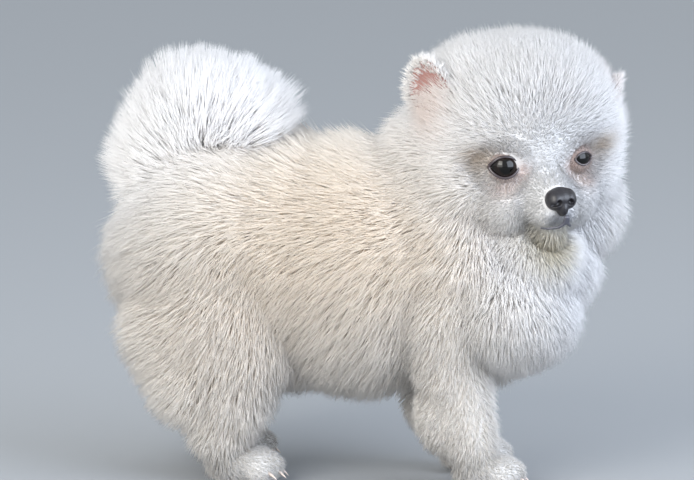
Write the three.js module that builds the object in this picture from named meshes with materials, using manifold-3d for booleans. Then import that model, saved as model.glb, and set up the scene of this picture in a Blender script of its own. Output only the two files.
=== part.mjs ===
// A white Pomeranian puppy about ten weeks old, life size, in millimetres. It stands on four paws with its
// head turned to its right and its tail plume curled over its back. +X is forwards, +Y is the puppy's left
// and +Z is up. The origin is on the floor under the middle of the puppy.
//
// Each part of the body is a few rounded masses of flesh, blended, with a coat of a known depth over them.
// Its core ends part of the way out through the coat. Flat tapered locks grow from the core, lie back along
// the body and reach the tips of the coat. Neighbouring parts keep a thin gap.

import * as THREE from 'three';
import { mergeVertices } from 'three/addons/utils/BufferGeometryUtils.js';
import Module from 'manifold-3d';

const wasm = await Module();
wasm.setup();

const vec = (x, y, z) => new THREE.Vector3(x, y, z);

// Driving dimensions of the puppy, over its skin.
const backHeight = 132; // floor to the top of the loin
const headHeight = 153; // floor to the middle of the skull
const headForward = 80; // the middle of the skull ahead of the middle of the body
const headTurn = -58; // degrees, towards its right
const headTilt = 3; // degrees, right ear down
const skullHalf = 32; // half the skull's breadth
const eyeRadius = 7;
const foreSpread = 20; // a forepaw's distance from the midline
const hindSpread = 23;
const nearForeX = 0; // how far the right foreleg stands ahead of its place
const farForeX = -7; // and the left one
const nearHindX = 0;
const farHindX = -7;

// The coat: where the cores end, as a share of its depth, and the gap that parts keep.
const coreShare = 0.5;
const gap = 0.3;
const blend = 8; // how softly masses run together
const seed = 11;

// Rounded masses, and the distance from a point to their blended surface.

const ball = (at, radii, coat) => ({ at, radii, coat });
const limb = (from, fromRadius, to, toRadius, coat) => ({ from, fromRadius, to, toRadius, coat });

function distanceToMass(p, mass, share) {
  const coat = share * (typeof mass.coat === 'function' ? mass.coat(p) : mass.coat);
  if (mass.at) {
    const r = mass.radii.clone().addScalar(coat);
    const q = p.clone().sub(mass.at);
    const scaled = vec(q.x / r.x, q.y / r.y, q.z / r.z);
    const slope = vec(scaled.x / r.x, scaled.y / r.y, scaled.z / r.z).length();
    const k = scaled.length();
    return slope < 1e-9 ? -Math.min(r.x, r.y, r.z) : (k * (k - 1)) / slope;
  }
  const along = mass.to.clone().sub(mass.from);
  const t = THREE.MathUtils.clamp(p.clone().sub(mass.from).dot(along) / along.lengthSq(), 0, 1);
  const radius = THREE.MathUtils.lerp(mass.fromRadius, mass.toRadius, t) + coat;
  return p.distanceTo(mass.from.clone().addScaledVector(along, t)) - radius;
}

function distance(p, masses, share, softness = blend) {
  return masses.reduce((a, mass) => {
    const b = distanceToMass(p, mass, share);
    const h = Math.max(softness - Math.abs(a - b), 0) / softness;
    return Math.min(a, b) - (h * h * softness) / 4;
  }, 1e3);
}

function normalAt(p, body, share) {
  const e = 0.5;
  const slope = axis => {
    const step = axis.clone().multiplyScalar(e);
    const value = q => distance(q, body.masses, share, body.softness);
    return value(p.clone().add(step)) - value(p.clone().sub(step));
  };
  return vec(slope(vec(1, 0, 0)), slope(vec(0, 1, 0)), slope(vec(0, 0, 1))).normalize();
}

// The first point along a ray where the blended surface, pushed out by grow, is crossed.
function surfaceAlong(ray, body, share, grow = 0) {
  const inside = t => distance(ray.at(t, vec()), body.masses, share, body.softness) < grow;
  const step = 1.5;
  let t = 0;
  while (inside(t + step) && t < 200) t += step;
  let [low, high] = [t, t + step];
  for (let i = 0; i < 12; i++) {
    const middle = (low + high) / 2;
    if (inside(middle)) low = middle;
    else high = middle;
  }
  return ray.at(low, vec());
}

// A ray out of a body's spine. rise runs from -1 at the spine's start, through 0, to 1 at its end, and
// direction is a unit vector whose Y is that rise and whose X and Z turn round the spine.
function spineRay(body, direction) {
  const t = (1 + direction.y) / 2;
  const along = body.spine.getTangent(t);
  const across = body.side.clone().addScaledVector(along, -body.side.dot(along)).normalize();
  const upright = across.clone().cross(along);
  const out = vec().addScaledVector(across, direction.x).addScaledVector(along, direction.y)
    .addScaledVector(upright, direction.z);
  return new THREE.Ray(body.spine.getPoint(t), out.normalize());
}

// Geometry to solids and back.

function solid(geometry) {
  const bare = new THREE.BufferGeometry();
  bare.setAttribute('position', geometry.getAttribute('position'));
  bare.setIndex(geometry.index);
  const merged = mergeVertices(bare, 1e-4);
  const made = new wasm.Manifold(new wasm.Mesh({
    numProp: 3,
    vertProperties: merged.attributes.position.array,
    triVerts: new Uint32Array(merged.index.array),
  }));
  return made;
}

const joined = solids => wasm.Manifold.union(solids);

function largest(made) {
  return made.decompose().reduce((a, b) => (b.volume() > a.volume() ? b : a));
}

function geometryOf(made) {
  const mesh = made.getMesh();
  const geometry = new THREE.BufferGeometry();
  geometry.setAttribute('position', new THREE.BufferAttribute(new Float32Array(mesh.vertProperties), 3));
  geometry.setIndex(new THREE.BufferAttribute(new Uint32Array(mesh.triVerts), 1));
  geometry.computeVertexNormals();
  return geometry;
}

const moved = (made, matrix) => made.transform(matrix.elements);

// A solid with every corner moved out by the gap.
function roomFor(made) {
  const geometry = geometryOf(made);
  const position = geometry.getAttribute('position');
  const normal = geometry.getAttribute('normal');
  for (let i = 0; i < position.count; i++) {
    const p = vec().fromBufferAttribute(position, i);
    p.addScaledVector(vec().fromBufferAttribute(normal, i), 1.2 * gap);
    position.setXYZ(i, p.x, p.y, p.z);
  }
  return solid(geometry);
}

// A body's surface at a share of the coat: a sphere whose points are pushed out along rays from the spine.
function wrapped(body, share, grow = 0) {
  const geometry = new THREE.SphereGeometry(1, body.sides, body.rings);
  const position = geometry.getAttribute('position');
  const direction = vec();
  for (let i = 0; i < position.count; i++) {
    direction.fromBufferAttribute(position, i);
    const p = surfaceAlong(spineRay(body, direction), body, share, grow);
    position.setXYZ(i, p.x, p.y, p.z);
  }
  return facingOut(solid(geometry));
}

function facingOut(made) {
  if (made.volume() > 0) return made;
  const mesh = made.getMesh();
  const triVerts = mesh.triVerts.slice().reverse();
  return new wasm.Manifold(new wasm.Mesh({ numProp: 3, vertProperties: mesh.vertProperties, triVerts }));
}

// A spheroid at a place, turned about Y and then Z by degrees.
function spheroid(at, radii, sides, rings, turn = [0, 0]) {
  const matrix = new THREE.Matrix4().compose(
    at,
    new THREE.Quaternion().setFromEuler(new THREE.Euler(0, turn[0] * THREE.MathUtils.DEG2RAD,
      turn[1] * THREE.MathUtils.DEG2RAD, 'ZYX')),
    radii,
  );
  const upright = new THREE.SphereGeometry(1, sides, rings).rotateX(Math.PI / 2);
  return solid(upright.applyMatrix4(matrix));
}

// Locks.

// The same numbers from 0 to 1 on every run.
function drawer(start) {
  let state = start;
  return () => {
    state = (state * 16807) % 2147483647;
    return state / 2147483647;
  };
}

const lockSegments = 3;
const lockWidths = [0.8, 1, 0.66]; // of the full width, from the sunk root to short of the tip
const lockDepths = [1, 1, 0.7];

// A lock's middle line from its sunk root to its tip. It leaves the core at rootAngle from the surface and
// bends down to tipAngle, and is as long as it takes to reach the tips of the coat.
function lockLine(body, root, lie, reach) {
  const normal = normalAt(root, body, coreShare);
  const flow = lie.clone().addScaledVector(normal, -lie.dot(normal)).normalize();
  const heading = angle => vec().addScaledVector(flow, Math.cos(angle)).addScaledVector(normal, Math.sin(angle));
  const [rootAngle, tipAngle] = body.stand.map(THREE.MathUtils.degToRad);
  const steps = 12;
  const trace = length => {
    const points = [root.clone()];
    for (let i = 0; i < steps; i++) {
      const angle = THREE.MathUtils.lerp(rootAngle, tipAngle, (i + 0.5) / steps);
      points.push(points[i].clone().addScaledVector(heading(angle), length / steps));
    }
    return points;
  };
  let length = 5;
  while (length < body.longest && distance(trace(length)[steps], body.masses, 1, body.softness) < 0) length += 1;
  const points = trace(length * reach);
  points.unshift(root.clone().addScaledVector(heading(rootAngle), -body.sink));
  return { curve: new THREE.CatmullRomCurve3(points), across: normal.clone().cross(flow) };
}

// A three-sided cone bent along the lock's line: a flat underside, and a low ridge on top. Its faces are
// pushed out by grow.
function lock(line, width, depth, grow) {
  const geometry = new THREE.ConeGeometry(1, 1, 3, lockSegments);
  const position = geometry.getAttribute('position');
  const corner = vec();
  for (let i = 0; i < position.count; i++) {
    corner.fromBufferAttribute(position, i);
    const t = corner.y + 0.5;
    const ring = Math.round(t * lockSegments);
    const point = line.curve.getPoint(t);
    const along = line.curve.getTangent(t);
    const above = line.across.clone().cross(along).normalize();
    if (ring === lockSegments) {
      point.addScaledVector(along, grow * 8);
    } else if (Math.hypot(corner.x, corner.z) > 1e-6) {
      const half = (lockWidths[ring] * width) / 2;
      const thick = lockDepths[ring] * depth;
      const slope = Math.atan2(thick, half);
      const onRidge = corner.z > 1e-6;
      const side = Math.sign(corner.x) * (half + (grow * (1 / Math.cos(slope) + 1)) / Math.tan(slope));
      const height = onRidge ? (thick * 2) / 3 + grow / Math.cos(slope) : -thick / 3 - grow;
      point.addScaledVector(line.across, onRidge ? 0 : side);
      point.addScaledVector(above, height);
    }
    position.setXYZ(i, point.x, point.y, point.z);
  }
  return facingOut(solid(geometry));
}

// All of a body's locks, tier by tier along its spine. Each tier is turned by half a lock from the last.
function coatOf(body, buried, grow = 0) {
  const draw = drawer(body.seed ?? seed);
  const locks = [];
  body.tiers.forEach(([latitude, count, from = -180, to = 180], tier) => {
    const rise = THREE.MathUtils.degToRad(latitude);
    for (let i = 0; i < count; i++) {
      const share = (i + (tier % 2 ? 0.5 : 0) + 0.25 * (draw() - 0.5)) / count;
      const turn = THREE.MathUtils.degToRad(THREE.MathUtils.lerp(from, to, share));
      const tilt = rise + 0.06 * (draw() - 0.5);
      const reach = 1.04 + 0.14 * (draw() - 0.5);
      const size = 1 + 0.2 * (draw() - 0.5);
      const direction = vec(Math.cos(tilt) * Math.cos(turn), Math.sin(tilt), Math.cos(tilt) * Math.sin(turn));
      const root = surfaceAlong(spineRay(body, direction), body, coreShare);
      if (body.bald && body.bald(root)) continue;
      if (buried(root)) continue;
      const line = lockLine(body, root, body.lie(root), reach);
      locks.push(lock(line, body.lockWidth * size, body.lockDepth * size, grow));
    }
  });
  return locks.length ? joined(locks) : null;
}

function smooth(x, from, to) {
  const t = THREE.MathUtils.clamp((x - from) / (to - from), 0, 1);
  return t * t * (3 - 2 * t);
}

const between = (a, b, t) => a.clone().lerp(b, t);

// The trunk, the neck and the tail.

const loinZ = backHeight - 32;

const torso = {
  masses: [
    ball(vec(14, 0, loinZ - 5), vec(46, 29, 38), 25),
    ball(vec(-20, 0, loinZ - 4), vec(38, 25, 36), 27),
    ball(vec(-48, 0, loinZ - 2), vec(32, 28, 33), 28),
    ball(vec(38, 0, loinZ + 12), vec(26, 20, 26), 27),
    ball(vec(54, 0, loinZ - 7), vec(31, 27, 33), 25),
  ],
  spine: new THREE.LineCurve3(vec(-50, 0, loinZ - 4), vec(56, 0, loinZ - 4)),
  side: vec(0, 1, 0),
  sides: 16,
  rings: 12,
  tiers: [[-60, 6], [-34, 8], [-15, 8], [0, 8], [15, 8], [34, 8], [60, 6]],
  lie: p => between(between(vec(-0.8, 0, -0.8), vec(-1, 0, -0.15), smooth(p.x, -35, -80)),
    vec(0.2, 0, -1), smooth(p.x, 45, 75)),
  stand: [42, 18],
  lockWidth: 27,
  lockDepth: 5,
  longest: 45,
  sink: 6,
};

const neckFrom = vec(50, 0, loinZ + 12);
const skullAt = vec(headForward, -5, headHeight);
const headMatrix = new THREE.Matrix4().compose(
  skullAt,
  new THREE.Quaternion().setFromEuler(new THREE.Euler(headTilt * THREE.MathUtils.DEG2RAD, 0,
    headTurn * THREE.MathUtils.DEG2RAD, 'ZYX')),
  vec(1, 1, 1),
);
const intoHead = headMatrix.clone().invert();

const neck = {
  masses: [
    limb(neckFrom, 25, vec(62, 6, headHeight - 19), 22, 20),
    ball(vec(52, 2, loinZ + 36), vec(18, 20, 20), 23),
    ball(vec(94, 14, headHeight - 31), vec(14, 14, 14), 20),
    ball(vec(54, -9, headHeight - 29), vec(14, 14, 14), 20),
    ball(vec(78, -13, loinZ - 17), vec(16, 18, 16), 20),
  ],
  spine: new THREE.LineCurve3(vec(58, -2, loinZ + 6), vec(72, 0, headHeight - 25)),
  side: vec(0, 1, 0),
  sides: 16,
  rings: 10,
  tiers: [[-42, 7], [-12, 9], [18, 9]],
  lie: p => between(vec(-0.75, 0, -0.6), vec(0.15, -0.05, -1), smooth(p.x, 50, 80)),
  stand: [45, 20],
  lockWidth: 25,
  lockDepth: 5,
  longest: 40,
  sink: 6,
};

const plumeBase = vec(-64, 0, 126);

const tail = {
  masses: [
    limb(vec(-66, 0, 116), 7, vec(-73, 0, 138), 6, 28),
    limb(vec(-73, 0, 138), 6, vec(-63, 0, 156), 5, 33),
    limb(vec(-63, 0, 156), 5, vec(-46, 0, 153), 4, 31),
  ],
  spine: new THREE.QuadraticBezierCurve3(vec(-72, 0, 130), vec(-72, 0, 160), vec(-48, 0, 154)),
  side: vec(0, 1, 0),
  sides: 12,
  rings: 8,
  tiers: [[-52, 5], [-22, 7], [6, 8], [34, 7], [66, 5]],
  lie: p => p.clone().sub(plumeBase),
  stand: [66, 48],
  lockWidth: 22,
  lockDepth: 5,
  longest: 45,
  sink: 6,
};

// The legs and the paws, for one side: -1 is the right.

function foreleg(sign, shift) {
  const at = (x, z, y = foreSpread) => vec(x + shift, sign * y, z);
  return {
    masses: [
      limb(at(52, 82), 13, at(52, 58), 10, 15),
      limb(at(52, 58), 10, at(60, 26), 7.5, 10),
      limb(at(60, 26), 7.5, at(64, 10), 7, 8),
      ball(at(50, 34), vec(8, 8, 14), 9),
    ],
    spine: new THREE.CatmullRomCurve3([at(63, 14), at(59, 32), at(53, 58), at(52, 76)]),
    side: vec(0, 1, 0),
    sides: 12,
    rings: 9,
    tiers: [[28, 4], [-8, 5]],
    lie: () => vec(-0.4, 0, -1),
    stand: [32, 10],
    lockWidth: 19,
    lockDepth: 4,
    longest: 30,
    sink: 4,
  };
}

function hindleg(sign, shift) {
  const at = (x, z, y = hindSpread) => vec(x + shift, sign * y, z);
  return {
    masses: [
      ball(at(-46, 72, hindSpread + 1), vec(22, 11, 27), 18),
      limb(at(-41, 54), 9, at(-49, 28), 7, 18),
      limb(at(-49, 28), 7, at(-46, 11), 6.5, 10),
      ball(at(-60, 50), vec(10, 9, 15), 18),
    ],
    spine: new THREE.CatmullRomCurve3([at(-47, 15), at(-48, 32), at(-44, 56), at(-46, 76)]),
    side: vec(0, 1, 0),
    sides: 12,
    rings: 9,
    tiers: [[46, 5], [12, 5], [-18, 5]],
    lie: p => between(vec(-0.25, 0, -1), vec(-1, 0, -0.55), smooth(p.x - shift, -45, -70)),
    stand: [36, 14],
    lockWidth: 22,
    lockDepth: 4.5,
    longest: 36,
    sink: 4,
  };
}

const toeOffsets = [-8, -2.8, 2.8, 8];

function paw(at, length, width) {
  const toe = offset => {
    const forward = length * (0.62 - 0.035 * Math.abs(offset));
    return ball(at.clone().add(vec(forward, offset * (width / 9.5), -1.5)), vec(6.5, 2.9, 5.5), 1.6);
  };
  return {
    masses: [ball(at, vec(length, width, 8), 2.6), ...toeOffsets.map(toe)],
    softness: 1.6,
    spine: new THREE.LineCurve3(at.clone().add(vec(-4, 0, 0)), at.clone().add(vec(8, 0, 0))),
    side: vec(0, 1, 0),
    sides: 16,
    rings: 8,
    claws: toeOffsets.map(offset => toe(offset).at),
  };
}

// The head, in a frame at the middle of the skull: +X is where it looks, +Y its left and +Z up.

const faceAxis = vec(0.9, 0, -0.43).normalize();
const faceCoat = 2.2; // the coat's depth on the face
const crownCoat = 19.5; // and on the crown and cheeks
const headCoat = p => {
  const offAxis = THREE.MathUtils.radToDeg(p.angleTo(faceAxis));
  return THREE.MathUtils.lerp(faceCoat, crownCoat, smooth(offAxis, 36, 72));
};

const eyeAt = sign => vec(22.4, sign * 15.6, -6.6);
// The right ear stands up. The left one is lowered to the side.
const earAt = sign => (sign < 0 ? vec(3, -38, 26) : vec(4, 42, 13));
const noseAt = vec(42.5, 0, -20.8);
const mouthZ = -31.8;

const head = {
  masses: [
    ball(vec(-2, 0, 3), vec(33, skullHalf - 1, 31), headCoat),
    ball(vec(2, 15, -15), vec(20, 15, 16), headCoat),
    ball(vec(2, -15, -15), vec(20, 15, 16), headCoat),
    ball(vec(17.5, 14.5, -7), vec(10, 10, 10), 1.5),
    ball(vec(17.5, -14.5, -7), vec(10, 10, 10), 1.5),
    limb(vec(14, 0, -17), 15, vec(34, 0, -23), 9, 1.5),
    ball(vec(34, 4.6, -27), vec(9, 6, 6), 1.2),
    ball(vec(34, -4.6, -27), vec(9, 6, 6), 1.2),
  ],
  softness: 6,
  spine: new THREE.LineCurve3(vec(-10, 0, 4), vec(24, 0, -19)),
  side: vec(0, 1, 0),
  sides: 22,
  rings: 20,
  tiers: [[-58, 5], [-30, 9], [-6, 10], [17, 9]],
  lie: () => faceAxis.clone().negate(),
  bald: p => p.angleTo(faceAxis) < THREE.MathUtils.degToRad(51),
  stand: [42, 16],
  lockWidth: 23,
  lockDepth: 4.5,
  longest: 30,
  sink: 5,
};

const jaw = {
  masses: [limb(vec(8, 0, -31), 10, vec(31, 0, -36), 5.6, 1.5)],
  spine: new THREE.LineCurve3(vec(10, 0, -33), vec(30, 0, -37)),
  side: vec(0, 1, 0),
  sides: 12,
  rings: 8,
};

// The lids: a hood round the eyeball with an almond cut through it.
function lids(sign) {
  const at = eyeAt(sign);
  const turn = [0, sign * 22];
  const hood = spheroid(at, vec(1, 1, 1).multiplyScalar(eyeRadius + 1.5), 14, 8, turn);
  const reach = eyeRadius + 6;
  const forward = vec(reach, 0, 0).applyAxisAngle(vec(0, 0, 1), THREE.MathUtils.degToRad(turn[1]));
  const almond = [1, -1].map(half => spheroid(at.clone().add(forward).add(vec(0, 0, half * -3.4)),
    vec(reach, 8.6, 8.6), 12, 6, turn));
  return { hood, opening: almond[0].intersect(almond[1]) };
}

const eyeball = (sign, grow = 0) => spheroid(eyeAt(sign), vec(1, 1, 1).multiplyScalar(eyeRadius + grow), 14, 10);

// The nose leather, with two nostrils that open forwards and curl to the side.
function noseLeather(grow = 0) {
  const radii = vec(6.2 + grow, 7 + grow, 6 + grow);
  const pad = joined([
    spheroid(noseAt, radii, 14, 8),
    spheroid(noseAt.clone().add(vec(0.4, 0, -3)), vec(5.4 + grow, 3.6 + grow, 4.6 + grow), 10, 5),
  ]);
  if (grow) return pad;
  const nostrils = [1, -1].flatMap(sign => [
    spheroid(noseAt.clone().add(vec(5.6, sign * 2.9, -0.6)), vec(2.6, 1.5, 1.7), 7, 4),
    spheroid(noseAt.clone().add(vec(4.6, sign * 4.6, -1.5)), vec(2.4, 1.7, 0.8), 7, 4),
  ]);
  return largest(pad.subtract(joined(nostrils)));
}

// An ear: a rounded leaf with a cupped front. Its base is sunk in the coat of the head.
function ear(sign, grow = 0) {
  const lean = [12, sign * 58];
  const height = 15;
  const leaf = spheroid(earAt(sign), vec(4.6 + grow, 11.5 + grow, height + grow), 14, 8, lean);
  if (grow) return leaf;
  const front = vec(4.2, 0, 1.2).applyAxisAngle(vec(0, 0, 1), THREE.MathUtils.degToRad(lean[1]));
  const cup = spheroid(earAt(sign).add(front), vec(4.6, 8.6, height - 4), 12, 8, lean);
  return leaf.subtract(cup);
}

const claw = tip => spheroid(tip.clone().add(vec(6.4, 0, -1.8)), vec(2.8, 0.9, 1.1), 5, 3, [24, 0]);

// Putting the puppy together: each core is cut clear of the cores before it, and each lock of every other
// core and of the locks that lie over it.

const white = 0xf2efe9;
const materials = {
  coat: new THREE.MeshStandardMaterial({ color: white, roughness: 0.9, metalness: 0 }),
  ear: new THREE.MeshStandardMaterial({ color: 0xe2b9ae, roughness: 0.8, metalness: 0 }),
  eye: new THREE.MeshStandardMaterial({ color: 0x140d0a, roughness: 0.08, metalness: 0 }),
  nose: new THREE.MeshStandardMaterial({ color: 0x1b191b, roughness: 0.4, metalness: 0 }),
};

const withLocks = true;
const solidShare = withLocks ? coreShare : 1;

// Every body with a coat, in the order in which cores keep their full shape.
const bodies = {
  head: { body: head, inHead: true },
  forepaw_right: { body: paw(vec(70 + nearForeX, -foreSpread, 8), 16, 10) },
  forepaw_left: { body: paw(vec(70 + farForeX, foreSpread, 8), 16, 10) },
  hindpaw_right: { body: paw(vec(-37 + nearHindX, -hindSpread, 8), 17, 10) },
  hindpaw_left: { body: paw(vec(-37 + farHindX, hindSpread, 8), 17, 10) },
  neck: { body: neck },
  tail: { body: tail },
  foreleg_right: { body: foreleg(-1, nearForeX) },
  foreleg_left: { body: foreleg(1, farForeX) },
  hindleg_right: { body: hindleg(-1, nearHindX) },
  hindleg_left: { body: hindleg(1, farHindX) },
  torso: { body: torso },
};

// And in the order in which locks lie over the next part's.
const lockOrder = ['head', 'neck', 'tail', 'torso', 'foreleg_right', 'foreleg_left', 'hindleg_right',
  'hindleg_left'];

const toWorld = (made, inHead) => (inHead ? moved(made, headMatrix) : made);
const floorUp = [0, 0, 1];

function coreOf(body, grow) {
  const core = wrapped(body, solidShare, grow);
  return body.claws && !grow ? joined([core, ...body.claws.map(claw)]) : core;
}

const ears = [-1, 1].map(sign => ear(sign));
const jawSolid = largest(wrapped(jaw, 1).trimByPlane([0, 0, -1], -mouthZ));
const cleared = [-1, 1].flatMap(sign => [ear(sign, gap), eyeball(sign, gap)])
  .concat(noseLeather(gap), roomFor(jawSolid));

// The head's core with its lids, cut clear of the eyes, ears, nose and jaw.
function headCore(core) {
  const both = [-1, 1].map(lids);
  const groove = spheroid(vec(noseAt.x - 0.5, 0, (noseAt.z + mouthZ) / 2 - 2), vec(4.4, 0.5, 5), 6, 6);
  return joined([core, ...both.map(b => b.hood)])
    .subtract(joined([...both.map(b => b.opening), groove]))
    .subtract(joined(cleared));
}

// Whether a point on one part's core lies inside the core of a part before it.
function buriedIn(name) {
  const before = lockOrder.slice(0, lockOrder.indexOf(name)).map(other => bodies[other]);
  return p => before.some(other => {
    const q = other.inHead ? p.clone().applyMatrix4(intoHead) : p;
    return distance(q, other.body.masses, coreShare, other.body.softness) < 0;
  });
}

for (const part of Object.values(bodies)) {
  const bare = coreOf(part.body, 0);
  part.core = toWorld(part === bodies.head ? headCore(bare) : bare, part.inHead);
  part.room = roomFor(part.core);
}

bodies.head.room = joined([bodies.head.room, ...cleared.map(made => moved(made, headMatrix))]);

const names = Object.keys(bodies);
names.forEach((name, i) => {
  const before = names.slice(0, i).map(other => bodies[other].room);
  const part = bodies[name];
  part.cut = before.length ? part.core.subtract(joined(before)) : part.core;
});

if (withLocks) {
  for (const name of lockOrder) {
    const part = bodies[name];
    part.locks = toWorld(coatOf(part.body, buriedIn(name)), part.inHead);
    part.lockRoom = toWorld(coatOf(part.body, buriedIn(name), gap), part.inHead);
  }
}

function finished(name) {
  const part = bodies[name];
  let made = part.cut;
  if (part.locks) {
    const others = names.filter(other => other !== name).map(other => bodies[other].room);
    const above = lockOrder.slice(0, lockOrder.indexOf(name)).map(other => bodies[other].lockRoom);
    const extras = name === 'head' ? cleared.map(c => moved(c, headMatrix)) : [];
    made = part.cut.add(part.locks.subtract(joined([...others, ...above, ...extras])));
  }
  return largest(made.trimByPlane(floorUp, 0));
}

function node(name, made, material) {
  const mesh = new THREE.Mesh(geometryOf(made), material);
  mesh.name = name;
  return mesh;
}

const puppy = new THREE.Group();
const headGroup = new THREE.Group();
headMatrix.decompose(headGroup.position, headGroup.quaternion, headGroup.scale);
puppy.add(headGroup);

for (const name of names) {
  const made = finished(name);
  if (bodies[name].inHead) headGroup.add(node(name, moved(made, intoHead), materials.coat));
  else puppy.add(node(name, made, materials.coat));
}

headGroup.add(node('lower_jaw', jawSolid, materials.coat));
headGroup.add(node('nose', noseLeather(), materials.nose));
[-1, 1].forEach((sign, i) => {
  const hand = sign < 0 ? 'right' : 'left';
  headGroup.add(node('eye_' + hand, eyeball(sign), materials.eye));
  headGroup.add(node('ear_' + hand, largest(ears[i]), materials.ear));
});

// Stood with its paws on the floor and the middle of its box over the origin.
const box = new THREE.Box3().setFromObject(puppy, true);
const middle = box.getCenter(vec());
puppy.position.set(-middle.x, -middle.y, -box.min.z);

export default puppy;
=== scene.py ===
import math

import bpy
import numpy as np
from mathutils import Matrix, Vector, kdtree


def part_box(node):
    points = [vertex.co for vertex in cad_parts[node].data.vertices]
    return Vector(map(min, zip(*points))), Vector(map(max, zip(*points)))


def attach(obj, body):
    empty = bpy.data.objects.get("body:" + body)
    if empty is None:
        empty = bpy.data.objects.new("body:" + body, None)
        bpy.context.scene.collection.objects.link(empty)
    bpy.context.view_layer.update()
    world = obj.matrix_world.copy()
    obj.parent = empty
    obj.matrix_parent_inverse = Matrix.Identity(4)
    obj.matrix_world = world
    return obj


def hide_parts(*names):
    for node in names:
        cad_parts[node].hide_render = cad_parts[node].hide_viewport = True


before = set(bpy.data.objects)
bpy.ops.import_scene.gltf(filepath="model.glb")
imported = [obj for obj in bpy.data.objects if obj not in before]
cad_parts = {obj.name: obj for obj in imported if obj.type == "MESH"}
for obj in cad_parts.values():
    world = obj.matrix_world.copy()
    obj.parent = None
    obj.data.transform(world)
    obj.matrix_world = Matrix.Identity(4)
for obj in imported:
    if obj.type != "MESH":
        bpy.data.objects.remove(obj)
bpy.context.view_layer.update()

bl_info = {
    "name": "White Pomeranian Puppy",
    "version": (1, 0, 0),
    "blender": (4, 5, 0),
    "location": "3D View > Sidebar > Puppy",
    "description": "Models a standing white puppy with a plush coat over its packed solids",
    "category": "Add Mesh",
}

MM = 0.001

# The head's place and turn, in millimetres and degrees, as in the solids. Its own frame has +X where it
# looks, +Y to its left and +Z up.
SKULL_AT = Vector((80, -5, 153))
HEAD_TURN = Matrix.Rotation(math.radians(-58), 3, "Z") @ Matrix.Rotation(math.radians(3), 3, "X")
HEAD_ROWS = np.array(HEAD_TURN)  # the same turn, for rows of places
FACE_AXIS = Vector((0.9, 0, -0.43)).normalized()
EYE_AT = {-1: Vector((21.5, -17.4, -6.4)), 1: Vector((22.4, 15.6, -6.4))}
EYE_RADIUS = 7.0
# Half the opening between the lids, across and up. The left eye is narrowed.
EYE_OPENING = {-1: (5.7, 4.6), 1: (3.7, 2.7)}
# Half the width of the lids' dark rim, and half the thickness of the ring of radius 1 that it is bent from.
RIM_HALF = 0.48
RING_HALF = 0.1
NOSE_AT = Vector((42.3, -0.6, -20.1))
EAR_AT = {-1: Vector((1, -41.5, 25)), 1: Vector((5, 42.5, 8))}
# Half an ear's width and height, and the degrees that it turns out from the face and leans back.
EAR_HALF = (11.2, 14.6)
EAR_TURNED = 58
EAR_LEANING = 12
SIDES = ((-1, "right"), (1, "left"))


def from_head(point):
    """A place in the head's frame, in the body's frame, in millimetres."""
    return SKULL_AT + HEAD_TURN @ Vector(point)


def middle_of(node):
    low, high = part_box(node)
    return (low + high) / 2


# The solids stand with their box over the origin, so their right eye tells how far all has moved.
MOVED = middle_of("eye_right") / MM - from_head((22.4, -15.6, -6.6))
MOVED.z = 0


def placed(point):
    """A place in the body's frame, in the scene's frame, in metres."""
    return (Vector(point) + MOVED) * MM


def on_head(point):
    """A place in the head's frame, in the scene's frame, in metres."""
    return placed(from_head(point))


def ear_turn(sign):
    """From an ear's own frame, with +X where it opens, to the body's."""
    out = Matrix.Rotation(math.radians(sign * EAR_TURNED), 3, "Z")
    return HEAD_TURN @ out @ Matrix.Rotation(math.radians(EAR_LEANING), 3, "Y")


# The coat's depth on the face and on the crown, in millimetres.
FACE_COAT = 3.4
CROWN_COAT = 19.5
# Half the width of a toe, which tells the toes from the paws.
TOE_HALF_WIDTH = 2.9

# The flesh: a region, a rounded mass in millimetres, and the coat's depth over it.

def ball(region, at, radii, coat, head=False):
    return {"region": region, "at": at, "radii": radii, "coat": coat, "head": head}


def limb(region, start, start_radius, end, end_radius, coat, head=False):
    return {"region": region, "start": start, "end": end, "radii": (start_radius, end_radius),
            "coat": coat, "head": head}


def leg_masses():
    """The masses of the legs and paws. The left ones stand a little behind the right ones."""
    masses = []
    for sign, behind in ((-1, 0), (1, 12)):
        y = sign * 20
        masses += [
            limb("foreleg", (52 - behind, y, 82), 13, (52 - behind, y, 58), 10, 15),
            limb("foreleg", (52 - behind, y, 58), 10, (60 - behind, y, 26), 7.5, 10),
            limb("foreleg", (60 - behind, y, 26), 7.5, (64 - behind, y, 10), 7, 8),
            ball("foreleg", (50 - behind, y, 34), (8, 8, 14), 9),
        ]
        masses += paw_masses((70 - behind, y, 8), 16)
        y = sign * 23
        masses += [
            ball("hindleg", (-46 - behind, sign * 24, 72), (22, 11, 27), 18),
            limb("hindleg", (-41 - behind, y, 54), 9, (-49 - behind, y, 28), 7, 18),
            limb("hindleg", (-49 - behind, y, 28), 7, (-46 - behind, y, 11), 6.5, 10),
            ball("hindleg", (-60 - behind, y, 50), (10, 9, 15), 18),
            ball("hindleg", (-62, sign * 19, 67), (16, 11, 18), 21),
        ]
        masses += paw_masses((-37 - behind, y, 8), 17)
    return masses


def paw_masses(at, length):
    """A paw and its four toes."""
    x, y, z = at
    masses = [ball("paw", at, (length, 9.8, 8), 2.6)]
    for offset in (-8, -2.8, 2.8, 8):
        forward = length * (0.62 - 0.035 * abs(offset))
        masses.append(ball("paw", (x + forward, y + offset, z - 1.5), (6.5, TOE_HALF_WIDTH, 5.5), 1.6))
    return masses


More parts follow.
